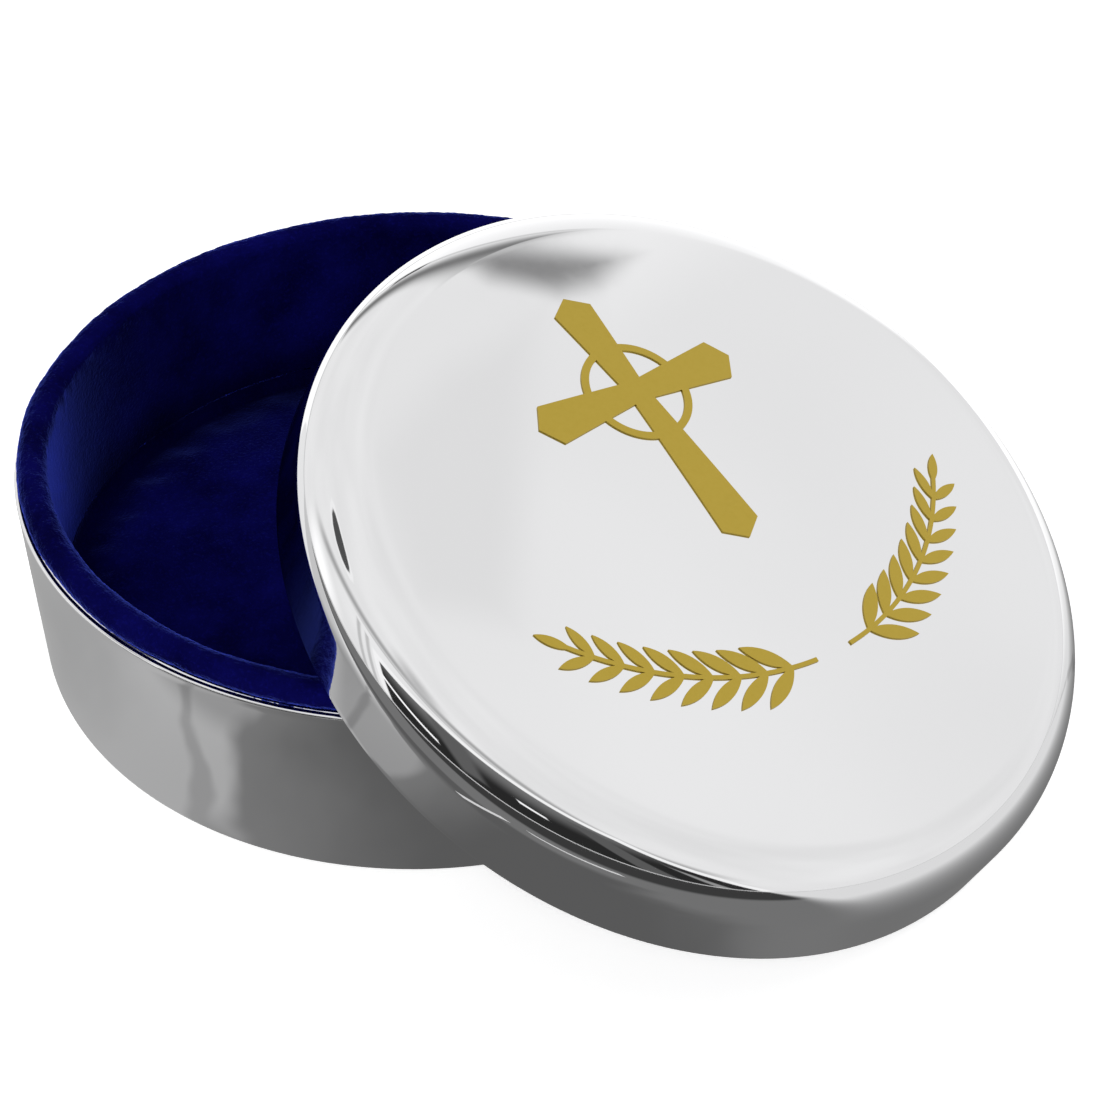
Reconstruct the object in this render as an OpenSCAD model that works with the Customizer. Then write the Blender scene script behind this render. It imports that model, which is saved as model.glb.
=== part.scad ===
// Round keepsake box for a rosary: a pressed metal body, a lift-off lid and soft linings.
// Lengths are millimetres and angles are degrees. The origin is the centre of the flat
// underside and +Z is up. The lid is off the box and leans along +X: its low rim stands
// on the table and its raised side rests over the velvet collar.

/* [Body] */
// Outside diameter at the lip
box_diameter = 90; // [76:1:120]
// How far the pressed wall draws in towards the base
wall_draw = 1.3; // [0.6:0.1:2.2]
// Height of the body up to its lip
body_height = 23.5; // [18:0.5:34]
// Thickness of the pressed sheet
sheet = 0.8; // [0.5:0.1:1.2]
// Outside radius of the corner at the base
base_corner = 1.2; // [0.9:0.1:3]
// Width of the lip, where the sheet is folded in
lip_width = 1.05; // [0.9:0.05:1.6]
// Depth of the folded lip
lip_depth = 2; // [1:0.25:4]
// Rounding of the raw metal edges
edge_round = 0.3; // [0.1:0.05:0.35]

/* [Collar] */
// How far the velvet collar stands out of the lip
collar_rise = 2.7; // [1.5:0.1:5]
// Thickness of the card ring inside the collar
ring_card = 1.2; // [0.8:0.1:2]
// Thickness of the velvet
velvet = 0.7; // [0.5:0.05:1]
// Depth of the velvet's hem on the outside, below the top of the collar
collar_hem = 10; // [6:0.5:14]

/* [Floor] */
// Thickness of the card on the floor
floor_card_thickness = 1.2; // [0.8:0.1:2]
// Height of the floor pad's edge above its card
floor_pad_edge = 2.2; // [1.8:0.1:3.5]
// Rounding of the floor pad's edge
floor_pad_round = 1.3; // [1:0.1:1.7]
// Radius of the floor pad's crown
floor_crown_radius = 420; // [260:10:900]

/* [Lid] */
// Straight height of the lid's skirt
skirt_height = 6.4; // [5:0.1:10]
// Outside radius of the lid's shoulder
shoulder_radius = 6.8; // [4:0.1:10]
// Radius of the lid's slightly domed top
dome_radius = 550; // [400:10:900]
// Thickness of the card under the top
lid_card_thickness = 0.8; // [0.6:0.1:1.2]
// Depth of the lid's padding below its card, with the velvet
lid_pad_depth = 1.6; // [1.4:0.1:2]
// Rounding of the lid pad's edge
lid_pad_round = 1.1; // [0.9:0.1:1.3]
// Width of the bare metal between the lid's wall and its pad
lid_pad_margin = 8; // [7.5:0.25:12]

/* [Lid at rest] */
// Distance from the box's axis to the centre of the lid's rim
lid_offset = 33.4; // [26:0.2:60]
// Space left where the lid rests over the collar
lid_clearance = 0.3; // [0.2:0.05:0.6]

/* [Gold ornament] */
// Thickness of the gilding on the lid's top
gilt = 0.15; // [0.1:0.01:0.3]
// Turn of the ornament on the lid
ornament_turn = 72; // [0:1:359]
// Length of the cross
cross_length = 34; // [20:0.5:36]
// Span of the cross's arms
cross_span = 28; // [16:0.5:30]
// Width of the cross's arms at the crossing
cross_neck = 2.6; // [1.6:0.1:4]
// Width of the cross's arms at their ends
cross_end = 5.2; // [3:0.1:7]
// Height of the crossing above the lid's centre
cross_height = 16.5; // [10:0.5:20]
// Outside radius of the ring round the crossing
cross_ring = 6.4; // [5:0.1:8]
// Width of that ring
ring_line = 0.9; // [0.5:0.05:1.5]
// Radius of the arc that the two sprays follow
spray_radius = 36; // [30:1:42]
// Height of that arc's centre above the lid's centre
spray_height = 17; // [12:0.5:20]
// Width of the sprays' stems
stem_width = 0.5; // [0.4:0.05:0.9]
// Pairs of leaves on each spray
leaf_pairs = 8; // [5:1:10]
// Length of the leaves nearest the cross's foot
leaf_length = 6.2; // [4:0.1:7]
// Width of those leaves
leaf_width = 1.7; // [1.2:0.1:2.4]

/* [Hidden] */
$fn = 128;
// Play between linings and shell, and between layers that curve together
fit = 0.1;
// Play under the gilding
gilt_gap = 0.02;
// Facets of the very large crown circles, in the mesh only
crown_fn = 1440;
// Angles along the arc where the sprays start and end
spray_start_angle = 4;
spray_end_angle = 50;
// Lean of the leaves from their stem
leaf_angle = 36;
// Share of their size that the leaves lose towards the tip
leaf_taper = 0.35;
// Flattest and steepest lean that the lid's tilt is looked for between
flattest_angle = 8;
steepest_angle = 60;
halvings = 24;
// How far a cut runs past the piece that it cuts
overcut = 1;

// Body
lip_r = box_diameter / 2;
base_r = lip_r - wall_draw;
wall_lean = atan(wall_draw / body_height);
inner_base_r = base_r - sheet / cos(wall_lean);
inner_corner = max(base_corner - sheet, 0.4);
floor_inner_r = inner_base_r + sheet * tan(wall_lean);

// Collar
collar_outer_r = lip_r - lip_width - fit;
collar_thickness = ring_card + 2 * velvet;
collar_inner_r = collar_outer_r - collar_thickness;
collar_top = body_height + collar_rise;
collar_bead = collar_thickness / 2;
collar_mid_r = collar_outer_r - collar_bead;
collar_seat = sheet + floor_card_thickness;

// Floor
floor_card_r = floor_inner_r - inner_corner - fit;
floor_pad_r = min(collar_inner_r, inner_base_r + collar_seat * tan(wall_lean)) - fit;
floor_pad_side = floor_pad_edge - floor_pad_round;

// Lid, in its own frame: the rim's plane is z = 0 and the axis is Z
dome_drop = crown_drop(lip_r, shoulder_radius, dome_radius);
dome_centre = skirt_height - dome_drop;
lid_height = dome_centre + dome_radius;
lid_card_top = dome_radius - sheet - fit;
lid_card_under = lid_card_top - lid_card_thickness;
lid_pad_under = lid_card_under - lid_pad_depth;
lid_pad_r = lip_r - lid_pad_margin;

// Lid at rest: the rim's rounded edge touches the table, and the lid leans as low as
// the lip and the collar let it
rest_steps = 100;
rest_heights = [for (i = [0:rest_steps]) i * (collar_top + lid_clearance) / rest_steps];
lid_tilt = settle(flattest_angle, steepest_angle, halvings);
lid_rim_z = rim_height(lid_tilt);
echo(lid_tilt = lid_tilt, lid_rim_z = lid_rim_z, lid_height = lid_height, collar_top = collar_top,
    dome_centre = dome_centre, lid_pad_under = lid_pad_under);

// Height from a crown circle's centre up to the centre of its edge rounding, when the
// two circles are tangent
function crown_drop(r, edge, crown) = sqrt(pow(crown - edge, 2) - pow(r - edge, 2));

// Radius that the box and its collar take up at a height, with the clearance
function kept_clear(z) =
    z <= body_height + lid_clearance ? lip_r + lid_clearance
    : z <= collar_top - collar_bead ? collar_outer_r + lid_clearance
    : collar_mid_r + sqrt(max(0, pow(collar_bead + lid_clearance, 2) - pow(z - collar_top + collar_bead, 2)));

// Height of the rim's centre when the lid stands on its rim at a tilt
function rim_height(tilt) = (lip_r - edge_round) * sin(tilt) + edge_round * (1 - cos(tilt));

// Least offset that keeps a circle of the rim outside that radius at a height
function offset_for_edge(edge, z, tilt) =
    let (turn = (rim_height(tilt) - z) / (edge * sin(tilt)))
    abs(turn) > 1 ? 0
    : sqrt(max(0, pow(kept_clear(z), 2) - pow(edge, 2) * (1 - turn * turn))) - edge * cos(tilt) * turn;

// Least offset that keeps the lid's padding off the collar's top
function offset_for_padding(tilt) =
    let (reach = lid_pad_under - lid_clearance - collar_bead,
        up = collar_top - collar_bead - rim_height(tilt) - dome_centre * cos(tilt))
    collar_mid_r - dome_centre * sin(tilt) - sqrt(max(0, reach * reach - up * up));

// Least offset of the lid at a tilt
function offset_for(tilt) = max(concat(
    [for (edge = [lip_r - sheet, lip_r], z = rest_heights) offset_for_edge(edge, z, tilt)],
    [offset_for_padding(tilt)]
));

// The lowest tilt at which the lid's offset is clear, found by halving
function settle(low, high, turns) =
    let (middle = (low + high) / 2)
    turns == 0 ? high
    : offset_for(middle) > lid_offset ? settle(middle, high, turns - 1) : settle(low, middle, turns - 1);

// Half of a cup's section: a floor at height floor_z, a rounded corner and a wall that
// leans out from radius foot_r at z = 0
module cup_2d(foot_r, floor_z, corner, top_z) {
    corner_x = foot_r + (floor_z + corner) * tan(wall_lean) - corner / cos(wall_lean);
    polygon([
        [0, floor_z], [corner_x, floor_z], [corner_x, floor_z + corner],
        [corner_x + corner * cos(wall_lean), floor_z + corner - corner * sin(wall_lean)],
        [foot_r + top_z * tan(wall_lean), top_z], [0, top_z]
    ]);
    intersection() {
        translate([corner_x, floor_z + corner]) circle(corner, $fn = 48);
        translate([corner_x, floor_z]) square([corner, corner]);
    }
}

// Half of a cap's section: a straight side, a rounded edge and a crown, all drawn in by inset
module cap_2d(r, side, edge, crown, inset = 0) {
    drop = crown_drop(r, edge, crown);
    meet = (r - edge) * (crown - inset) / (crown - edge);
    square([r - inset, side]);
    intersection() {
        translate([r - edge, side]) circle(edge - inset, $fn = 96);
        square([r, side + edge]);
    }
    intersection() {
        translate([0, side - drop]) circle(crown - inset, $fn = crown_fn);
        square([meet, side - drop + crown]);
    }
}

// A strip between two radii whose edge at z = 0 is rounded
module edge_2d(inner, outer) {
    for (x = [inner + edge_round, outer - edge_round]) translate([x, edge_round]) circle(edge_round, $fn = 32);
    translate([inner + edge_round, 0]) square([outer - inner - 2 * edge_round, 2 * edge_round]);
}

// What fits inside the body's wall
module body_room_2d(play) {
    cup_2d(inner_base_r - play, sheet, inner_corner, collar_top + overcut);
}

// The collar's section, drawn in by inset
module collar_2d(inset) {
    width = collar_thickness - 2 * inset;
    translate([collar_inner_r + inset, collar_seat]) square([width, collar_top - collar_bead - collar_seat]);
    translate([collar_mid_r, collar_top - collar_bead]) circle(width / 2, $fn = 64);
}

// The lid pad's section, whose underside follows the dome, drawn in by inset
module lid_pad_2d(inset) {
    under = lid_pad_under + inset;
    round_r = lid_pad_round - inset;
    round_x = lid_pad_r - lid_pad_round;
    round_y = sqrt(pow(lid_pad_under + lid_pad_round, 2) - pow(round_x, 2));
    meet = round_x * under / (lid_pad_under + lid_pad_round);
    translate([0, dome_centre]) intersection() {
        circle(lid_card_top, $fn = crown_fn);
        union() {
            difference() {
                translate([0, lid_pad_under - lip_r]) square([meet, 2 * lip_r]);
                circle(under, $fn = crown_fn);
            }
            translate([meet, round_y]) square([lid_pad_r - inset - meet, lip_r]);
            translate([round_x, round_y]) circle(round_r, $fn = 48);
        }
    }
}

// Moves the lid from its own frame to where it rests
module lid_at_rest() {
    translate([lid_offset, 0, lid_rim_z]) rotate([0, lid_tilt, 0]) children();
}

// Lays a flat figure on the lid's domed top as thin gilding
module gilding() {
    lid_at_rest() intersection() {
        translate([0, 0, skirt_height]) rotate([0, 0, ornament_turn]) linear_extrude(lid_height) children();
        rotate_extrude() intersection() {
            difference() {
                translate([0, dome_centre]) circle(dome_radius + gilt_gap + gilt, $fn = crown_fn);
                translate([0, dome_centre]) circle(dome_radius + gilt_gap, $fn = crown_fn);
            }
            translate([0, skirt_height]) square([lip_r - shoulder_radius, lid_height]);
        }
    }
}

module body_shell() {
    color("silver") rotate_extrude() {
        intersection() {
            difference() {
                cup_2d(base_r, 0, base_corner, body_height + overcut);
                cup_2d(inner_base_r, sheet, inner_corner, body_height + 2 * overcut);
            }
            square([lip_r + overcut, body_height - edge_round]);
        }
        translate([lip_r - lip_width, body_height - lip_depth]) square([lip_width - edge_round, lip_depth - edge_round]);
        translate([0, body_height]) mirror([0, 1]) edge_2d(lip_r - lip_width, lip_r);
    }
}

module collar_card() {
    color("tan") rotate_extrude() intersection() {
        collar_2d(velvet + fit / 2);
        body_room_2d(fit);
    }
}

module collar_velvet() {
    color("navy") rotate_extrude() intersection() {
        difference() {
            collar_2d(0);
            collar_2d(velvet);
            translate([collar_inner_r + velvet, collar_seat - overcut]) square([ring_card, 2 * overcut]);
            translate([collar_mid_r, 0]) square([collar_thickness, collar_top - collar_hem]);
        }
        body_room_2d(fit);
    }
}

module floor_card() {
    color("tan") translate([0, 0, sheet]) cylinder(h = floor_card_thickness, r = floor_card_r);
}

module floor_wadding() {
    color("white") translate([0, 0, collar_seat]) rotate_extrude()
        cap_2d(floor_pad_r, floor_pad_side, floor_pad_round, floor_crown_radius, velvet + fit / 2);
}

module floor_velvet() {
    color("navy") translate([0, 0, collar_seat]) rotate_extrude() difference() {
        cap_2d(floor_pad_r, floor_pad_side, floor_pad_round, floor_crown_radius);
        translate([0, -overcut]) square([floor_pad_r - velvet, floor_pad_side + overcut]);
        cap_2d(floor_pad_r, floor_pad_side, floor_pad_round, floor_crown_radius, velvet);
    }
}

module lid_shell() {
    color("silver") lid_at_rest() rotate_extrude() {
        intersection() {
            difference() {
                cap_2d(lip_r, skirt_height, shoulder_radius, dome_radius);
                translate([0, -overcut]) square([lip_r - sheet, 2 * overcut]);
                cap_2d(lip_r, skirt_height, shoulder_radius, dome_radius, sheet);
            }
            translate([0, edge_round]) square([lip_r + overcut, lid_height]);
        }
        edge_2d(lip_r - sheet, lip_r);
    }
}

module lid_card() {
    color("tan") lid_at_rest() rotate_extrude() intersection() {
        difference() {
            translate([0, dome_centre]) circle(lid_card_top, $fn = crown_fn);
            translate([0, dome_centre]) circle(lid_card_under, $fn = crown_fn);
        }
        translate([0, skirt_height]) square([lid_pad_r - velvet - fit, lid_height]);
    }
}

module lid_wadding() {
    color("white") lid_at_rest() rotate_extrude() intersection() {
        lid_pad_2d(velvet + fit / 2);
        translate([0, dome_centre]) circle(lid_card_under - fit / 2, $fn = crown_fn);
    }
}

module lid_velvet() {
    color("navy") lid_at_rest() rotate_extrude() difference() {
        lid_pad_2d(0);
        lid_pad_2d(velvet);
    }
}

// A bar of the cross that widens to its end, along +Y
module cross_arm(reach) {
    polygon([
        [-cross_neck / 2, 0], [cross_neck / 2, 0],
        [cross_end / 2, reach - cross_end / 3], [0, reach], [-cross_end / 2, reach - cross_end / 3]
    ]);
}

module gold_cross() {
    upper = cross_length * 0.4;
    color("goldenrod") gilding() translate([0, cross_height]) {
        cross_arm(upper);
        rotate(180) cross_arm(cross_length - upper);
        for (side = [-90, 90]) rotate(side) cross_arm(cross_span / 2);
        difference() {
            circle(cross_ring);
            circle(cross_ring - ring_line);
        }
    }
}

// A pointed leaf from the origin along +X, at a share of the full size
module leaf(share) {
    length = share * leaf_length;
    width = share * leaf_width;
    bow = (pow(length / 2, 2) + pow(width / 2, 2)) / width;
    intersection_for (side = [-1, 1]) translate([length / 2, side * (bow - width / 2)]) circle(bow, $fn = 180);
}

// A sprig on an arc below the lid's centre, out to the right, with a leaf at its tip
module spray() {
    step = (spray_end_angle - spray_start_angle) / (leaf_pairs + 1);
    angles = [for (i = [0:2]) spray_start_angle + i * (spray_end_angle - spray_start_angle) / 2];
    translate([0, spray_height]) {
        intersection() {
            difference() {
                circle(spray_radius + stem_width / 2, $fn = 180);
                circle(spray_radius - stem_width / 2, $fn = 180);
            }
            polygon([[0, 0], for (a = angles) 2 * spray_radius * [sin(a), -cos(a)]]);
        }
        for (i = [1:leaf_pairs], side = [-1, 1])
            rotate(spray_start_angle + i * step - 90) translate([spray_radius, 0])
                rotate(90 + side * leaf_angle) leaf(1 - leaf_taper * (i - 1) / leaf_pairs);
        rotate(spray_end_angle - 91) translate([spray_radius, 0]) rotate(90) leaf(1 - leaf_taper);
    }
}

module gold_spray_right() {
    color("goldenrod") gilding() spray();
}

module gold_spray_left() {
    color("goldenrod") gilding() mirror([1, 0]) spray();
}

body_shell();
collar_card();
collar_velvet();
floor_card();
floor_wadding();
floor_velvet();
lid_shell();
lid_card();
lid_wadding();
lid_velvet();
gold_cross();
gold_spray_left();
gold_spray_right();
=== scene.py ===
"""A round plated keepsake box with a velvet lining. Its lid is off and leans against it."""

import math
import random

import bpy
from mathutils import Matrix, Vector, noise


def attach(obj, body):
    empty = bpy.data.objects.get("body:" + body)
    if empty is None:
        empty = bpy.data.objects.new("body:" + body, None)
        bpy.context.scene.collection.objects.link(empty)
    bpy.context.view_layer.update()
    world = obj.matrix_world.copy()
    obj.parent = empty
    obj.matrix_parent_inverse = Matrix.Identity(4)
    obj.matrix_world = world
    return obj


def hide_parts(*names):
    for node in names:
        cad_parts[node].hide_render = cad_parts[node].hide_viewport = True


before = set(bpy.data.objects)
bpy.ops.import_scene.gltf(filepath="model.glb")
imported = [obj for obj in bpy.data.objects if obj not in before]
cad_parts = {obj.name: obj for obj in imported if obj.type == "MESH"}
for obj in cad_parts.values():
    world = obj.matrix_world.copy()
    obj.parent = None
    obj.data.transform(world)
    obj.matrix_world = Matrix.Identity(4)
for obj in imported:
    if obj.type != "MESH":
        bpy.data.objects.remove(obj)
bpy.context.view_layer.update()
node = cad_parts

# ------------------------------------------------------------------------------------
# Body. A shallow cup pressed from brass sheet, its lip folded in over a small groove
# where the lid's rim lands, then plated and buffed to a mirror. Sizes are in mm.
MM = 0.001
SHEET = 0.8
BODY_HEIGHT = 23.5
LIP_RADIUS = 45.0
LIP_ROUND = 0.3
GROOVE_WIDTH = 0.6
GROOVE_DEPTH = 0.13
GROOVE_STEPS = 30
FOLD_ROUND = 0.15
FOLD_KNEE = 23.0
FOLD_FOOT = 21.5
FOLD_SEAT_RADIUS = 44.06
WALL_DRAW = 1.3
WALL_TOP = 23.05
WALL_FOOT_INSIDE = 1.4
BASE_CORNER = 1.2
INNER_CORNER = 0.4
PLATE_COLOUR = "#e8e8e9"


def arc(x, z, radius, start, end, steps):
    """Points in mm along an arc of a section, from the start angle to the end angle."""
    angles = [math.radians(start + (end - start) * i / steps) for i in range(steps + 1)]
    return [(x + radius * math.cos(a), z + radius * math.sin(a)) for a in angles]


def line(start, end, steps):
    """Points in mm along a straight stretch, without its two ends."""
    return [
        (start[0] + (end[0] - start[0]) * i / steps, start[1] + (end[1] - start[1]) * i / steps)
        for i in range(1, steps)
    ]


def turned(name, section, rounds=360):
    """Sweeps a closed half section, points of (radius, height) in mm, into a shell round Z."""
    weld = 0.002 * MM
    bpy.ops.object.select_all(action="DESELECT")
    bpy.ops.mesh.primitive_circle_add(vertices=len(section), radius=0.01)
    piece = bpy.context.object
    piece.name = piece.data.name = name
    for vertex, (x, z) in zip(piece.data.vertices, section):
        vertex.co = (x * MM, 0, z * MM)
    sweep = piece.modifiers.new("sweep", "SCREW")
    sweep.steps = sweep.render_steps = rounds
    sweep.use_merge_vertices = True
    sweep.merge_threshold = weld
    bpy.ops.object.modifier_apply(modifier=sweep.name)
    bpy.ops.object.mode_set(mode="EDIT")
    bpy.ops.mesh.select_all(action="SELECT")
    bpy.ops.mesh.delete_loose()
    bpy.ops.mesh.select_all(action="SELECT")
    bpy.ops.mesh.remove_doubles(threshold=weld)
    bpy.ops.mesh.normals_make_consistent(inside=False)
    bpy.ops.object.mode_set(mode="OBJECT")
    bpy.ops.object.shade_smooth()
    return piece


def colour(code):
    """A hex sRGB colour as linear red, green, blue and alpha."""
    parts = [int(code[i : i + 2], 16) / 255 for i in (1, 3, 5)]
    return (*[p / 12.92 if p <= 0.04045 else ((p + 0.055) / 1.055) ** 2.4 for p in parts], 1)


def add(tree, kind, settings=None, **links):
    """Adds a node with its settings, and sets or links its inputs by name or by _number."""
    made = tree.nodes.new(kind)
    for name, value in (settings or {}).items():
        setattr(made, name, value)
    for name, value in links.items():
        slot = made.inputs[int(name[1:])] if name[0] == "_" else made.inputs[name.replace("_", " ")]
        if isinstance(value, bpy.types.NodeSocket):
            tree.links.new(value, slot)
        else:
            slot.default_value = value
    return made


def speckle(tree, spot, scale, detail, roughness):
    """The socket of a noise over a place."""
    made = add(
        tree, "ShaderNodeTexNoise", Vector=spot, Scale=scale, Detail=detail, Roughness=roughness
    )
    return made.outputs["Fac"]


def ramp(tree, value, start, end, low, high, eased=False):
    """The socket of a value carried from one range to another, with soft ends if eased."""
    settings = {"interpolation_type": "SMOOTHSTEP"} if eased else {}
    made = add(
        tree, "ShaderNodeMapRange", settings, _0=value, _1=start, _2=end, _3=low, _4=high
    )
    return made.outputs[0]


def new_material(name):
    """An empty node material and its node tree."""
    material = bpy.data.materials.new(name)
    material.use_nodes = True
    material.node_tree.nodes.clear()
    return material, material.node_tree


def finish_with(piece, material):
    """Gives a piece one material all over."""
    piece.data.materials.clear()
    piece.data.materials.append(material)


# Bright nickel over brass, buffed with rouge: nearly colourless, mirror sharp, with the
# faint waviness of a pressing and a little haze where cloths have rubbed it.
bright_plate, tree = new_material("bright_plate")
spot = add(tree, "ShaderNodeTexCoord").outputs["Object"]
rubbed = speckle(tree, spot, 260.0, 4.0, 0.6)
wavy = speckle(tree, spot, 38.0, 1.0, 0.4)
dents = add(tree, "ShaderNodeBump", Strength=0.05, Distance=0.0004, Height=wavy)
shine = add(
    tree,
    "ShaderNodeBsdfPrincipled",
    Base_Color=colour(PLATE_COLOUR),
    Metallic=1.0,
    Roughness=ramp(tree, rubbed, 0.35, 0.75, 0.025, 0.06),
    Normal=dents.outputs["Normal"],
)
add(tree, "ShaderNodeOutputMaterial", Surface=shine.outputs["BSDF"])

base_radius = LIP_RADIUS - WALL_DRAW
wall_lean = math.atan(WALL_DRAW / BODY_HEIGHT)
lean_angle = math.degrees(wall_lean)
corner_x = base_radius + BASE_CORNER * math.tan(wall_lean) - BASE_CORNER / math.cos(wall_lean)
inner_foot = base_radius - SHEET / math.cos(wall_lean)
inner_corner_z = SHEET + INNER_CORNER
inner_corner_x = inner_foot + inner_corner_z * math.tan(wall_lean)
inner_corner_x -= INNER_CORNER / math.cos(wall_lean)
wall_top = (base_radius + WALL_TOP * math.tan(wall_lean), WALL_TOP)
lip_x = LIP_RADIUS - LIP_ROUND
fold_x = lip_x - GROOVE_WIDTH
fold_face = fold_x - FOLD_ROUND

outside = [(0.0, 0.0), *line((0, 0), (corner_x, 0), 24)]
outside += arc(corner_x, BASE_CORNER, BASE_CORNER, -90, -lean_angle, 14)
outside += [*line(outside[-1], wall_top, 30), wall_top]
outside += arc(lip_x, BODY_HEIGHT - LIP_ROUND, LIP_ROUND, 0, 90, 12)
groove = []
for i in range(1, GROOVE_STEPS):
    dip = GROOVE_DEPTH * math.sin(math.pi * i / GROOVE_STEPS) ** 2
    groove.append((lip_x - GROOVE_WIDTH * i / GROOVE_STEPS, BODY_HEIGHT - dip))
inside = [*groove, *arc(fold_x, BODY_HEIGHT - FOLD_ROUND, FOLD_ROUND, 90, 180, 8)]
inside += [(fold_face, FOLD_KNEE), (fold_face, FOLD_FOOT), (FOLD_SEAT_RADIUS, FOLD_FOOT)]
inside += line(inside[-1], (inner_corner_x + INNER_CORNER, WALL_FOOT_INSIDE), 12)
inside += arc(inner_corner_x, inner_corner_z, INNER_CORNER, -lean_angle, -90, 6)
inside += [*line((inner_corner_x, SHEET), (0, SHEET), 16), (0.0, SHEET)]
body = turned("pressed_body", outside + inside)
finish_with(body, bright_plate)
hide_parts("body_shell")
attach(body, "box")

# ------------------------------------------------------------------------------------
# Collar. A grey-board ring lines the wall and stands out of it. Velvet is glued over
# its top, round both sides, so its edge is a soft roll that the lid slides over. At the
# front the pile leans out over the metal lip.
COLLAR_FOOT = 2.0
CARD_INSIDE = 41.95
CARD_THICKNESS = 1.2
CARD_TOP = 24.9
VELVET_INSIDE = 41.22
VELVET_OUTSIDE = 43.8
OUTSIDE_HEM = 16.2
ROLL_MIDDLE = (42.97, 24.72)
ROLL_HALF_WIDTH = 1.75
ROLL_HALF_HEIGHT = 1.4
ROLL_INSIDE_FOOT = 24.4
COLLAR_ROUNDS = 640
PILE_LEAN = 0.62
PILE_LEAN_AT_FRONT = 0.38
PILE_LEAN_MOST = 1.05
# Where the painted crease shade lies: its ring in section, its core and its reach
CREASE_RING = (0.0412, 0.005, 0)
CREASE_CORE = 0.0005
CREASE_REACH = 0.0075
DYE_COLOUR = "#030230"
BRUSHED_COLOUR = "#0a0a55"
# Lighter blue painted on as sheen where the velvet is seen edge-on
PAINTED_EDGE_SHEEN_COLOUR = "#4a5cc8"
# Near-black painted as shade into the crease
CREASE_SHADE_COLOUR = "#010012"
SHEEN_COLOUR = "#3444e0"


def math_of(tree, operation, *parts, clamped=False):
    """The socket of a sum, a product or another result of one or two values."""
    settings = {"operation": operation, "use_clamp": clamped}
    slots = {f"_{i}": part for i, part in enumerate(parts)}
    return add(tree, "ShaderNodeMath", settings, **slots).outputs[0]


def vector_of(tree, operation, *parts):
    """The socket of a result of one or two vectors, which is a value or a vector."""
    slots = {f"_{i}": part for i, part in enumerate(parts)}
    made = add(tree, "ShaderNodeVectorMath", {"operation": operation}, **slots)
    as_value = operation in ("LENGTH", "DISTANCE", "DOT_PRODUCT")
    return made.outputs["Value" if as_value else "Vector"]


def tint(tree, amount, under, over):
    """The socket of one colour laid over another by an amount."""
    return add(
        tree, "ShaderNodeMix", {"data_type": "RGBA"}, _0=amount, _6=under, _7=over
    ).outputs[2]


# Cotton velvet: the pile drinks in light seen straight down and glows where it is seen
# across its tips, so its ridge and far edge are brighter than the well. That glow is partly
# the shader's own sheen and partly a painted sheen in the base colour, and the well's
# crease has painted shade. Its nap lies in brushed patches, and single tufts catch the light.
royal_velvet, tree = new_material("royal_blue_velvet")
spot = add(tree, "ShaderNodeTexCoord").outputs["Object"]
brushed = speckle(tree, spot, 140.0, 4.0, 0.6)
tufts = speckle(tree, spot, 2400.0, 2.0, 0.7)
patches = ramp(tree, brushed, 0.35, 0.7, 0.0, 0.7)
tips = ramp(tree, tufts, 0.52, 0.75, 0.0, 0.6)
lying = math_of(tree, "ADD", patches, tips, clamped=True)
dye_and_painted_light = tint(tree, lying, colour(DYE_COLOUR), colour(BRUSHED_COLOUR))
pile = add(tree, "ShaderNodeBump", Strength=0.4, Distance=0.00025, Height=tufts)
# Painted sheen: seen edge-on, the base colour is painted a lighter blue, a bright edge that stands
# in for the lit tips of the pile
along = add(tree, "ShaderNodeLayerWeight", Blend=0.5, Normal=pile.outputs["Normal"])
painted_edge_sheen = ramp(tree, along.outputs["Facing"], 0.5, 1.0, 0.0, 0.65)
dye_and_painted_light = tint(tree, painted_edge_sheen, dye_and_painted_light, colour(PAINTED_EDGE_SHEEN_COLOUR))
# Painted shade: in the crease between the floor pad and the collar the base colour is painted
# near-black where shade falls
xyz = add(tree, "ShaderNodeSeparateXYZ", Vector=spot)
flat = add(tree, "ShaderNodeCombineXYZ", X=xyz.outputs["X"], Y=xyz.outputs["Y"])
from_axis = vector_of(tree, "LENGTH", flat.outputs[0])
section_spot = add(tree, "ShaderNodeCombineXYZ", X=from_axis, Y=xyz.outputs["Z"])
from_crease = vector_of(tree, "DISTANCE", section_spot.outputs[0], CREASE_RING)
painted_crease_shade = ramp(tree, from_crease, CREASE_CORE, CREASE_REACH, 0.7, 0.0, eased=True)
dye_and_painted_light = tint(tree, painted_crease_shade, dye_and_painted_light, colour(CREASE_SHADE_COLOUR))
nap = add(
    tree,
    "ShaderNodeBsdfPrincipled",
    Base_Color=dye_and_painted_light,
    Roughness=1.0,
    Sheen_Weight=0.7,
    Sheen_Roughness=0.22,
    Sheen_Tint=colour(SHEEN_COLOUR),
    Specular_IOR_Level=0.05,
    Normal=pile.outputs["Normal"],
)
add(tree, "ShaderNodeOutputMaterial", Surface=nap.outputs["BSDF"])


def nap_unevenly(piece, swell, tuft, seed, crest=0.0):
    """Swells a velvet piece softly and lifts its tufts, by so many mm along its normals.

    Below the crest's height, in mm, the tufts lie nearly flat.
    """
    lifts = random.Random(seed)
    outward = [vertex.normal.copy() for vertex in piece.data.vertices]
    for vertex, normal in zip(piece.data.vertices, outward):
        place = vertex.co / MM
        loose = tuft if place.z > crest else 0.25 * tuft
        lift = swell * noise.noise(0.11 * place) + loose * noise.noise(0.8 * place)
        vertex.co += (lift + lifts.uniform(-loose, loose)) * MM * normal
    piece.data.update()


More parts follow.
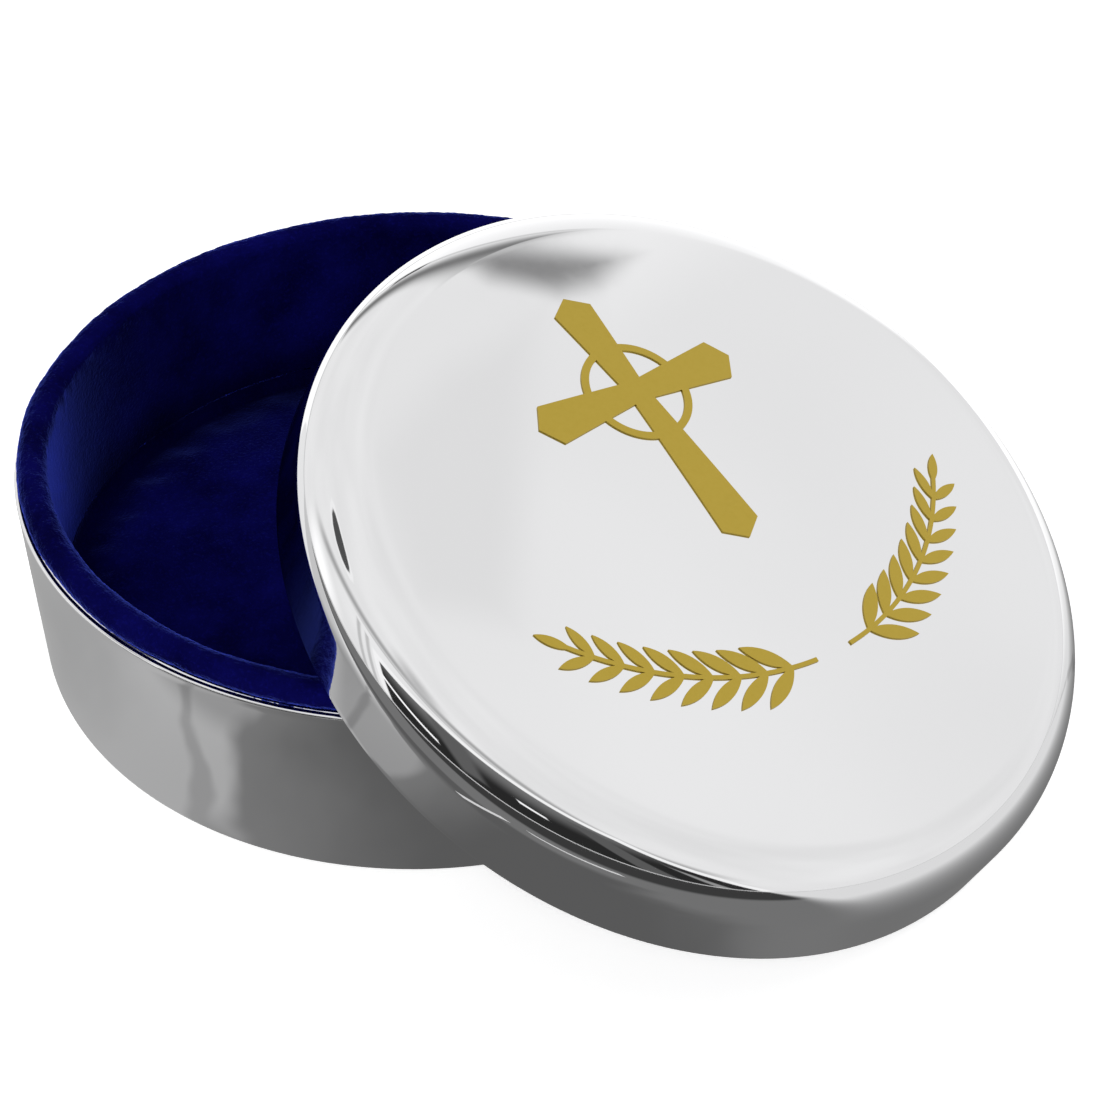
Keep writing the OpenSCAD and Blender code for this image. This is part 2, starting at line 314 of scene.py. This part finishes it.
def velvet_roll(start, end, steps):
    """Part of the oval that the velvet makes over the card ring and the lip."""
    angles = [math.radians(start + (end - start) * i / steps) for i in range(steps + 1)]
    x, z = ROLL_MIDDLE
    return [
        (x + ROLL_HALF_WIDTH * math.cos(a), z + ROLL_HALF_HEIGHT * math.sin(a)) for a in angles
    ]


hem = (VELVET_OUTSIDE, OUTSIDE_HEM)
inside_foot = (VELVET_INSIDE, COLLAR_FOOT)
card_foot = (CARD_INSIDE, COLLAR_FOOT)
card_half = CARD_THICKNESS / 2
outer_skin = [hem, *line(hem, (VELVET_OUTSIDE, 23.4), 8), (43.85, 23.6), (44.1, 23.68)]
outer_skin += velvet_roll(-44, 176, 46)
outer_skin += [*line((VELVET_INSIDE, ROLL_INSIDE_FOOT), inside_foot, 34), inside_foot, card_foot]
inner_skin = line(card_foot, (CARD_INSIDE, CARD_TOP), 8)
inner_skin += arc(CARD_INSIDE + card_half, CARD_TOP, card_half, 180, 0, 8)
inner_skin += [(CARD_INSIDE + CARD_THICKNESS, OUTSIDE_HEM)]
collar = turned("velvet_collar", outer_skin + inner_skin, rounds=COLLAR_ROUNDS)
outer_face = VELVET_OUTSIDE * MM
for vertex in collar.data.vertices:
    reach = math.hypot(vertex.co.x, vertex.co.y)
    if vertex.co.z > BODY_HEIGHT * MM and reach > outer_face:
        towards = vertex.co.normalized()
        leaning = PILE_LEAN - PILE_LEAN_AT_FRONT * towards.y + 0.3 * noise.noise(4 * towards)
        eased = outer_face + (reach - outer_face) * min(leaning, PILE_LEAN_MOST)
        vertex.co.x *= eased / reach
        vertex.co.y *= eased / reach
nap_unevenly(collar, 0.12, 0.06, seed=7, crest=BODY_HEIGHT)
finish_with(collar, royal_velvet)
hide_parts("collar_velvet")
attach(collar, "box")

# ------------------------------------------------------------------------------------
# Floor pad. A card disc, a layer of wadding and velvet pulled over both, dropped in
# and held by the collar, where its pile turns up. It swells towards the middle.
PAD_RADIUS = 41.15
PAD_TURN_UP = 1.5
PAD_CROWN_RADIUS = 420
PAD_CROWN_FOOT = 4.5
PAD_FOOT = 1.95
PAD_UNDERSIDE = [(0.0, 4.2), (38.0, 2.7), (40.4, PAD_FOOT)]
GLUED_BELOW = 4.25
GLUED_PAST = 39.5
STUFFING_PRESSURE = 3
STUFFING_FRAMES = 12
SWELL_AT_MOST = 0.6
floor_reach = PAD_RADIUS - PAD_TURN_UP
floor_tilt = math.degrees(math.asin(floor_reach / PAD_CROWN_RADIUS))
crown_centre = PAD_CROWN_FOOT - math.sqrt(PAD_CROWN_RADIUS**2 - floor_reach**2)
floor_top = arc(0, crown_centre, PAD_CROWN_RADIUS, 90 - floor_tilt, 90, 48)
pad_side = [(PAD_RADIUS, PAD_FOOT)]
pad_side += arc(floor_reach, PAD_CROWN_FOOT + PAD_TURN_UP, PAD_TURN_UP, 0, -90, 12)
floor_pad = turned("velvet_floor_pad", pad_side + floor_top[1:] + PAD_UNDERSIDE, rounds=200)
skin = floor_pad.data.vertices
held = [
    v.index
    for v in skin
    if v.co.z < GLUED_BELOW * MM or math.hypot(v.co.x, v.co.y) > GLUED_PAST * MM
]
glued = floor_pad.vertex_groups.new(name="glued")
glued.add(held, 1.0, "REPLACE")
before = [vertex.co.copy() for vertex in skin]
stuffing = floor_pad.modifiers.new("stuffing", "CLOTH")
stuffing.settings.quality = 4
stuffing.settings.mass = 0.2
stuffing.settings.tension_stiffness = 8
stuffing.settings.compression_stiffness = 8
stuffing.settings.bending_stiffness = 0.3
stuffing.settings.vertex_group_mass = glued.name
stuffing.settings.use_pressure = True
stuffing.settings.uniform_pressure_force = STUFFING_PRESSURE
stuffing.settings.shrink_min = -0.01
stuffing.settings.effector_weights.gravity = 0
stuffing.collision_settings.use_collision = False
for moment in range(1, STUFFING_FRAMES + 1):
    bpy.context.scene.frame_set(moment)
bpy.ops.object.modifier_apply(modifier=stuffing.name)
bpy.context.scene.frame_set(1)
most = SWELL_AT_MOST * MM
for vertex, old in zip(floor_pad.data.vertices, before):
    step = vertex.co - old
    if step.length > most:
        vertex.co = old + most * step.normalized()
nap_unevenly(floor_pad, 0.1, 0.02, seed=8)
finish_with(floor_pad, royal_velvet)
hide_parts("floor_velvet")
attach(floor_pad, "box")

# ------------------------------------------------------------------------------------
# Lid. Pressed like the body: a nearly flat domed top, a round shoulder and a short
# straight skirt with its raw edge buffed round. It leans with its low rim on the table.
LID_OFFSET = 33.4
LID_LIFT = 18.5656
LID_TILT = 24.5025
LID_RADIUS = 45.0
SKIRT_HEIGHT = 6.4
SKIRT_ROUND = 0.3
SHOULDER = 6.8
DOME_RADIUS = 550
DOME_CENTRE = -535.455
lid_shift = Matrix.Translation((LID_OFFSET * MM, 0, LID_LIFT * MM))
lid_place = lid_shift @ Matrix.Rotation(math.radians(LID_TILT), 4, "Y")


def on_lid(piece):
    """Moves a piece from the lid's own frame to where the lid rests, in its mesh."""
    piece.data.transform(lid_place)
    piece.data.update()
    return piece


shoulder_x = LID_RADIUS - SHOULDER
skirt_inside = LID_RADIUS - SHEET
dome_inside = DOME_RADIUS - SHEET
meet = math.degrees(math.asin(shoulder_x / (DOME_RADIUS - SHOULDER)))
lid_outside = arc(LID_RADIUS - SKIRT_ROUND, SKIRT_ROUND, SKIRT_ROUND, -90, 0, 8)
lid_outside += line((LID_RADIUS, SKIRT_ROUND), (LID_RADIUS, SKIRT_HEIGHT), 12)
lid_outside += arc(shoulder_x, SKIRT_HEIGHT, SHOULDER, 0, 90 - meet, 64)
lid_outside += arc(0, DOME_CENTRE, DOME_RADIUS, 90 - meet, 90, 60)[1:]
lid_inside = arc(0, DOME_CENTRE, dome_inside, 90, 90 - meet, 30)
lid_inside += arc(shoulder_x, SKIRT_HEIGHT, SHOULDER - SHEET, 90 - meet, 0, 20)[1:]
lid_inside += line((skirt_inside, SKIRT_HEIGHT), (skirt_inside, SKIRT_ROUND), 6)
lid_inside += arc(skirt_inside + SKIRT_ROUND, SKIRT_ROUND, SKIRT_ROUND, 180, 270, 8)
lid = on_lid(turned("pressed_lid", lid_outside + lid_inside))
finish_with(lid, bright_plate)
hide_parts("lid_shell")
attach(lid, "lid")

# ------------------------------------------------------------------------------------
# Lid pad. Card, thin wadding and the same velvet, glued up under the dome.
LID_PAD_RADIUS = 37
LID_PAD_ROUND = 1.1
LID_PAD_FACE = 546.7
LID_PAD_BACK = 547.4
LID_PAD_HEM = 36.3
LID_PAD_RISE = 0.4
pad_edge_x = LID_PAD_RADIUS - LID_PAD_ROUND
pad_edge_z = DOME_CENTRE + math.sqrt((LID_PAD_FACE + LID_PAD_ROUND) ** 2 - pad_edge_x**2)
pad_tilt = math.degrees(math.asin(pad_edge_x / (LID_PAD_FACE + LID_PAD_ROUND)))
pad_back_z = pad_edge_z + LID_PAD_RISE
lid_pad_section = arc(0, DOME_CENTRE, LID_PAD_FACE, 90, 90 - pad_tilt, 48)
lid_pad_section += arc(pad_edge_x, pad_edge_z, LID_PAD_ROUND, -90 + pad_tilt, 0, 12)
lid_pad_section += [(LID_PAD_RADIUS, pad_back_z), (LID_PAD_HEM, pad_back_z)]
lid_pad_section += arc(0, DOME_CENTRE, LID_PAD_BACK, 90 - pad_tilt + 0.1, 90, 30)
lid_pad = on_lid(turned("velvet_lid_pad", lid_pad_section, rounds=240))
nap_unevenly(lid_pad, 0.15, 0.02, seed=9)
finish_with(lid_pad, royal_velvet)
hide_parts("lid_velvet")
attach(lid_pad, "lid")

# ------------------------------------------------------------------------------------
# Gold ornament: a plain cross and two leafy sprays, gilded on the lid's top. Gold leaf
# over a fine matt ground, so it is satin and keeps one even tone.
GOLD_DEEP = "#b49b3e"
GOLD_LIGHT = "#c3ab4c"
satin_gold, tree = new_material("satin_gilding")
spot = add(tree, "ShaderNodeTexCoord").outputs["Object"]
ground = speckle(tree, spot, 1500.0, 3.0, 0.6)
gold = add(
    tree,
    "ShaderNodeBsdfPrincipled",
    Base_Color=tint(tree, ground, colour(GOLD_DEEP), colour(GOLD_LIGHT)),
    Metallic=1.0,
    Roughness=ramp(tree, ground, 0.3, 0.7, 0.38, 0.5),
)
add(tree, "ShaderNodeOutputMaterial", Surface=gold.outputs["BSDF"])
for name in ("gold_cross", "gold_spray_left", "gold_spray_right"):
    finish_with(node[name], satin_gold)

# ------------------------------------------------------------------------------------
# Hidden layers: grey board stamped to rings and discs, and cotton wadding over it.
BOARD_DARK = "#a08e72"
BOARD_LIGHT = "#c9b693"
COTTON_COLOUR = "#efeee8"
grey_board, tree = new_material("grey_board")
spot = add(tree, "ShaderNodeTexCoord").outputs["Object"]
fibres = speckle(tree, spot, 900.0, 4.0, 0.7)
pulp = tint(tree, fibres, colour(BOARD_DARK), colour(BOARD_LIGHT))
board = add(tree, "ShaderNodeBsdfPrincipled", Base_Color=pulp, Roughness=0.9)
add(tree, "ShaderNodeOutputMaterial", Surface=board.outputs["BSDF"])
cotton_wadding, tree = new_material("cotton_wadding")
spot = add(tree, "ShaderNodeTexCoord").outputs["Object"]
fluff = speckle(tree, spot, 1200.0, 5.0, 0.7)
lumps = add(tree, "ShaderNodeBump", Strength=0.6, Distance=0.0003, Height=fluff)
cotton = add(
    tree,
    "ShaderNodeBsdfPrincipled",
    Base_Color=colour(COTTON_COLOUR),
    Roughness=1.0,
    Sheen_Weight=0.3,
    Normal=lumps.outputs["Normal"],
)
add(tree, "ShaderNodeOutputMaterial", Surface=cotton.outputs["BSDF"])
for name in ("collar_card", "floor_card", "lid_card"):
    finish_with(node[name], grey_board)
for name in ("floor_wadding", "lid_wadding"):
    finish_with(node[name], cotton_wadding)

# ------------------------------------------------------------------------------------
# Studio: a light tent over a white table, with its front open on a dark room. Polished
# metal shows all of that, so the tent's seams, port and opening are laid out here by
# their directions from the box. They are seen in reflections only. Sizes are in metres.
BOX_MIDDLE = Vector((0.016, 0, 0.015))
TABLE_SIZE = 6
TABLE_COLOUR = "#e6e6e6"
TABLE_LIFT = 0.55
TABLE_TOP = -0.0001
TABLE_CARD_TOP = -0.00005
TABLE_CARD_RADIUS = 0.9
STRIP_TOP = -0.00002
STRIP_SHADE = 0.8
TENT_LIGHT_ON_CLOTH = 0.15


def mix(tree, amount, under, over):
    """The socket of one value laid over another by an amount."""
    return add(tree, "ShaderNodeMix", _0=amount, _2=under, _3=over).outputs[0]


def facing(azimuth, elevation):
    """A unit direction from the box, its azimuth anticlockwise from +X, in degrees."""
    a, e = math.radians(azimuth), math.radians(elevation)
    return Vector((math.cos(a) * math.cos(e), math.sin(a) * math.cos(e), math.sin(e)))


def seen_in_metal(card, shade):
    """Makes a card glow with one shade, or with a socket's, in reflections only."""
    material, tree = new_material(card.name)
    value = shade(tree) if callable(shade) else (shade, shade, shade, 1)
    glow = add(tree, "ShaderNodeEmission", Color=value)
    add(tree, "ShaderNodeOutputMaterial", Surface=glow.outputs["Emission"])
    finish_with(card, material)
    card.visible_camera = card.visible_diffuse = card.visible_shadow = False


# The table: white to the eye, with the box's own shadow on it
bpy.ops.object.select_all(action="DESELECT")
bpy.ops.mesh.primitive_plane_add(size=TABLE_SIZE, location=(0, 0, TABLE_TOP))
table = bpy.context.object
table.name = "table"
white_table, tree = new_material("white_table")
rays = add(tree, "ShaderNodeLightPath")
seen = math_of(tree, "ADD", rays.outputs["Is Camera Ray"], rays.outputs["Is Glossy Ray"])
seen = math_of(tree, "ADD", seen, rays.outputs["Is Transmission Ray"], clamped=True)
paper = add(tree, "ShaderNodeBsdfDiffuse", Color=colour(TABLE_COLOUR))
glow = add(tree, "ShaderNodeEmission", Strength=math_of(tree, "MULTIPLY", seen, TABLE_LIFT))
both = add(tree, "ShaderNodeAddShader", _0=paper.outputs["BSDF"], _1=glow.outputs["Emission"])
add(tree, "ShaderNodeOutputMaterial", Surface=both.outputs["Shader"])
finish_with(table, white_table)


def table_shade(tree):
    """A painted reflection of the table, for metal only: grey by the box, white further out, dark
    in front.
    """
    spot = add(tree, "ShaderNodeTexCoord").outputs["Object"]
    away = vector_of(tree, "SUBTRACT", spot, (BOX_MIDDLE.x, 0, 0))
    reach = vector_of(tree, "LENGTH", away)
    heading = vector_of(tree, "NORMALIZE", away)
    xyz = add(tree, "ShaderNodeSeparateXYZ", Vector=spot)
    x, y = xyz.outputs["X"], xyz.outputs["Y"]

    # How far a point lies to the right of a curved, wavy edge in front
    back = math_of(tree, "ADD", y, 0.045)
    bow = math_of(tree, "MULTIPLY", math_of(tree, "MULTIPLY", back, back), 26.0)
    wave = ramp(tree, speckle(tree, spot, 75.0, 2.0, 0.6), 0.3, 0.7, 0.0008, 0.0052)
    edge = math_of(tree, "ADD", math_of(tree, "ADD", x, bow), wave)
    bend = ramp(tree, y, -0.057, -0.068, 0.0, -0.0167, eased=True)
    edge = math_of(tree, "ADD", edge, bend)

    # The box's soft contact shadow, painted into the card's glow: wide and pale on the left,
    # narrow and dark on the right, and painted lit again behind
    wide = ramp(tree, reach, 0.05, 0.15, 0.36, 0.95, eased=True)
    pale = ramp(tree, edge, -0.035, -0.008, 1.0, 1.3, eased=True)
    dim = ramp(tree, y, -0.056, -0.061, 1.0, 0.7, eased=True)
    wide = math_of(tree, "MULTIPLY", math_of(tree, "MULTIPLY", wide, pale), dim)
    narrow = ramp(tree, reach, 0.058, 0.108, 0.18, 0.86, eased=True)
    on_left = ramp(tree, x, 0.05, 0.02, 0.0, 1.0, eased=True)
    shadow = mix(tree, on_left, narrow, wide)
    behind = vector_of(tree, "DOT_PRODUCT", heading, facing(100, 0))
    lit = ramp(tree, behind, 0.55, 0.95, 0.0, 1.0, eased=True)
    rear = ramp(tree, reach, 0.05, 0.11, 0.4, 1.3, eased=True)
    shadow = mix(tree, lit, shadow, rear)

    # A darker line painted beside the curved edge
    off = math_of(tree, "ADD", vector_of(tree, "DOT_PRODUCT", spot, (1, -0.9, 0)), -0.0445)
    off = math_of(tree, "ABSOLUTE", math_of(tree, "ADD", off, wave))
    dark_line = ramp(tree, off, 0.0006, 0.003, 0.74, 1.0, eased=True)
    shadow = math_of(tree, "MULTIPLY", shadow, dark_line)

    # The dark stretch painted in front, between that edge and a straight one on the right, and
    # the table's own end under the opening, painted darker still
    in_front = ramp(tree, edge, 0.004, 0.0095, 0.0, 1.0, eased=True)
    side = vector_of(tree, "DOT_PRODUCT", away, facing(69, 0))
    for part in (
        ramp(tree, side, 0.006, -0.006, 0.0, 1.0, eased=True),
        ramp(tree, y, -0.015, -0.03, 0.0, 1.0, eased=True),
    ):
        in_front = math_of(tree, "MULTIPLY", in_front, part)
    front = ramp(tree, edge, 0.005, 0.035, 0.22, 0.12, eased=True)
    front = math_of(tree, "ADD", front, ramp(tree, edge, 0.058, 0.078, 0.0, 0.08, eased=True))
    depth = vector_of(tree, "DOT_PRODUCT", away, facing(290, 0) + 0.5 * facing(20, 0))
    ends = ramp(tree, depth, 0.122, 0.145, 1.0, 0.25, eased=True)
    return mix(tree, in_front, shadow, math_of(tree, "MULTIPLY", front, ends))


# The table card: a disc that glows with the painted reflection of the table and the box's painted
# shadow, shown in metal only
bpy.ops.object.select_all(action="DESELECT")
bpy.ops.mesh.primitive_circle_add(
    vertices=96, radius=TABLE_CARD_RADIUS, fill_type="NGON", location=(0, 0, TABLE_CARD_TOP)
)
bpy.ops.object.transform_apply(location=True, rotation=True, scale=True)
table_card = bpy.context.object
table_card.name = "table_card"
seen_in_metal(table_card, table_shade)

# Painted reflections of two light strips on the table's front: cards that glow in metal only
for name, corners in (
    ("front_strip_left", [(0.018, -0.074), (0.021, -0.073), (0.037, -0.097), (0.033, -0.098)]),
    ("front_strip_right", [(0.044, -0.106), (0.046, -0.101), (0.076, -0.085), (0.077, -0.091)]),
):
    bpy.ops.object.select_all(action="DESELECT")
    bpy.ops.mesh.primitive_circle_add(vertices=4, radius=0.01, fill_type="NGON")
    light_strip = bpy.context.object
    light_strip.name = name
    for vertex, (x, y) in zip(light_strip.data.vertices, corners):
        vertex.co = (x, y, STRIP_TOP)
    seen_in_metal(light_strip, STRIP_SHADE)

# The tent's cloth, as the world: white to the eye, and with its details in the metal
world = bpy.data.worlds.new("tent_cloth")
bpy.context.scene.world = world
world.use_nodes = True
tent = world.node_tree
tent.nodes.clear()
way = add(tent, "ShaderNodeTexCoord").outputs["Generated"]


def ring(under, axis, angle, width, shade, middle=None, reach=180, fade=20):
    """Tints a soft band at an angle from an axis, as long as the reach. Angle 0 is a spot."""
    turn = math_of(tent, "ARCCOSINE", vector_of(tent, "DOT_PRODUCT", way, facing(*axis)))
    off = math_of(tent, "ABSOLUTE", math_of(tent, "SUBTRACT", turn, math.radians(angle)))
    band = ramp(tent, off, 0.0, math.radians(width), 1.0, 0.0, eased=True)
    if middle:
        along = vector_of(tent, "DOT_PRODUCT", way, facing(*middle))
        far, near = [math.cos(math.radians(limit)) for limit in (reach, reach - fade)]
        ending = ramp(tent, along, far, near, 0.0, 1.0, eased=True)
        band = math_of(tent, "MULTIPLY", band, ending)
    return mix(tent, band, under, shade)


def patch(under, corners, shade, soft=0.8):
    """Tints the part of the tent between straight edges from corner to corner."""
    points = [facing(*corner) for corner in corners]
    middle = sum(points, Vector())
    sides = []
    for start, end in zip(points, points[1:] + points[:1]):
        edge = start.cross(end).normalized()
        if edge.dot(middle) < 0:
            edge.negate()
        sides.append(vector_of(tent, "DOT_PRODUCT", way, edge))
    inside = sides[0]
    for side in sides[1:]:
        inside = math_of(tent, "MINIMUM", inside, side)
    half = math.radians(soft) / 2
    return mix(tent, ramp(tent, inside, -half, half, 0.0, 1.0, eased=True), under, shade)


def oval(middle, wide, high):
    """Corners of an oval on the tent."""
    turns = [math.tau * i / 12 for i in range(12)]
    return [(middle[0] + wide * math.cos(t), middle[1] + high * math.sin(t)) for t in turns]


# White cloth in faint folds, and the rear wall, lit from outside
height = add(tent, "ShaderNodeSeparateXYZ", Vector=way).outputs["Z"]
cloth = ramp(tent, speckle(tent, way, 2.2, 2.0, 0.45), 0.3, 0.7, 0.9, 1.0)
rear_light = ramp(tent, height, 0.6, -0.1, 1.05, 1.4)
rear_wall = [(81, 41), (88, 15), (92, -15), (140, -15), (150, -2), (128, 33), (105, 42)]
cloth = patch(cloth, rear_wall, rear_light, 5)

# The dark seam over the back with its gathered end, a stitched line beside it, and a
# tie at its foot
SEAM_AXIS, SEAM_MIDDLE, SEAM_REACH = (88, -21), (128, 28), 36
seam_end = [(90, 45.6), (88, 43.2), (85.2, 39.8), (84.5, 41.5), (84.8, 43.2), (87.1, 45.1)]
seam_fold = [(83.5, 45.5), (83.2, 50), (80, 55), (69, 57), (66, 53.5), (74, 50.5)]
cloth = ring(cloth, SEAM_AXIS, 63.8, 5.5, 0.22, SEAM_MIDDLE, SEAM_REACH, fade=2.5)
cloth = patch(cloth, seam_end, 0.3, 1.6)
cloth = patch(cloth, seam_fold, 0.89, 2.5)
cloth = ring(cloth, SEAM_AXIS, 59, 1.0, 0.7, SEAM_MIDDLE, SEAM_REACH, fade=8)
cloth = patch(cloth, [(130, 21), (133, 20), (141, 11), (139, 11)], 0.08, 0.5)

# The front arch of the tent, and the cloth above it in shade
cloth = ring(cloth, (263, -49), 90, 5, 0.45, middle=(268, 40), reach=72)
cloth = ring(cloth, (263, -49), 86, 1.2, 0.6, middle=(290, 38), reach=60)
cloth = ring(cloth, (258, 46), 0, 12, 0.6)

# The port on the left with its bright hem, two posts under it, and a lamp's glow
PORT = (206, 45)
cloth = patch(cloth, oval(PORT, 14, 6.5), 1.05, 1)
cloth = patch(cloth, oval(PORT, 10.5, 4.8), 0.09, 1)
for post in (225, 229.5):
    cloth = patch(cloth, [(post, 27), (post + 2, 27), (post + 2, -12), (post, -12)], 0.62, 1.2)
cloth = ring(cloth, (202, 5), 0, 16, 1.3)

# The opening in front with its bright frame, and the room in it: dark below, with a
# wall, two strips of daylight and two uprights
frame_of_opening = [(233, 24), (262, 33), (318, 29), (334, 13), (350, -14), (292, -14), (234, -14)]
opening = [(236, 21), (262, 30), (315, 26), (331, 11), (347, -13), (292, -13), (237, -13)]
cloth = patch(cloth, frame_of_opening, 1.1)
cloth = patch(cloth, opening, ramp(tent, height, 0.2, 0.52, 0.025, 0.2, eased=True))
cloth = patch(cloth, [(257, 29), (272, 30), (270, 6), (262, 2)], 0.13, 4)
cloth = patch(cloth, [(236, 13.2), (256, 10.2), (256, 7.8), (236, 11)], 1.3)
cloth = patch(cloth, [(282, 14.5), (290, 13.5), (290, 11.5), (282, 12)], 1.2)
cloth = patch(cloth, [(300, 24), (309, 25), (324, -12), (315, -12)], 0.12, 1.5)
cloth = patch(cloth, [(322, 14), (326, 10), (338, -12), (333, -12)], 0.35, 1.5)

rays = add(tent, "ShaderNodeLightPath")
seen = math_of(tent, "ADD", rays.outputs["Is Glossy Ray"], rays.outputs["Is Transmission Ray"])
in_metal = mix(tent, seen, TENT_LIGHT_ON_CLOTH, cloth)
to_eye = mix(tent, rays.outputs["Is Camera Ray"], in_metal, 1.0)
light = add(tent, "ShaderNodeBackground", Color=(1, 1, 1, 1), Strength=to_eye)
add(tent, "ShaderNodeOutputWorld", Surface=light.outputs["Background"])


def softbox(name, azimuth, elevation, distance, size, power):
    """A square lamp outside the tent, aimed at the box, that metal doesn't show."""
    aim = facing(azimuth, elevation)
    bpy.ops.object.light_add(type="AREA", location=BOX_MIDDLE + distance * aim)
    lamp = bpy.context.object
    lamp.name = name
    lamp.data.size = size
    lamp.data.energy = power
    lamp.rotation_mode = "QUATERNION"
    lamp.rotation_quaternion = aim.to_track_quat("Z", "Y")
    lamp.visible_glossy = lamp.visible_camera = False


softbox("key_softbox", 308, 41, 0.8, 0.08, 1.3)
softbox("rear_softbox", 100, 48, 0.7, 0.3, 2.0)
softbox("left_softbox", 190, 40, 0.8, 0.5, 0.6)
softbox("front_softbox", 290, 34, 0.8, 0.5, 3.4)

# The camera stands in front on the right, looks down at the box and is tipped a little
EYE = Vector((0.13967, -0.20013, 0.21446))
FORWARD = Vector((-0.39738, 0.65177, -0.64598)).normalized()
LEVEL = Vector((0.85382, 0.52057, 0)).normalized()
TIP = 0.0175
LENS = 89.80
SENSOR_WIDTH = 36
upright = LEVEL.cross(FORWARD)
right = math.cos(TIP) * LEVEL + math.sin(TIP) * upright
above = right.cross(FORWARD)
turn = Matrix((right, above, -FORWARD)).transposed().to_4x4()
bpy.ops.object.camera_add()
camera = bpy.context.object
camera.matrix_world = Matrix.Translation(EYE) @ turn
camera.data.sensor_width = SENSOR_WIDTH
camera.data.lens = LENS
camera.data.clip_start = 0.01
camera.data.clip_end = 20
bpy.context.scene.camera = camera
bpy.context.scene.view_settings.view_transform = "Standard"
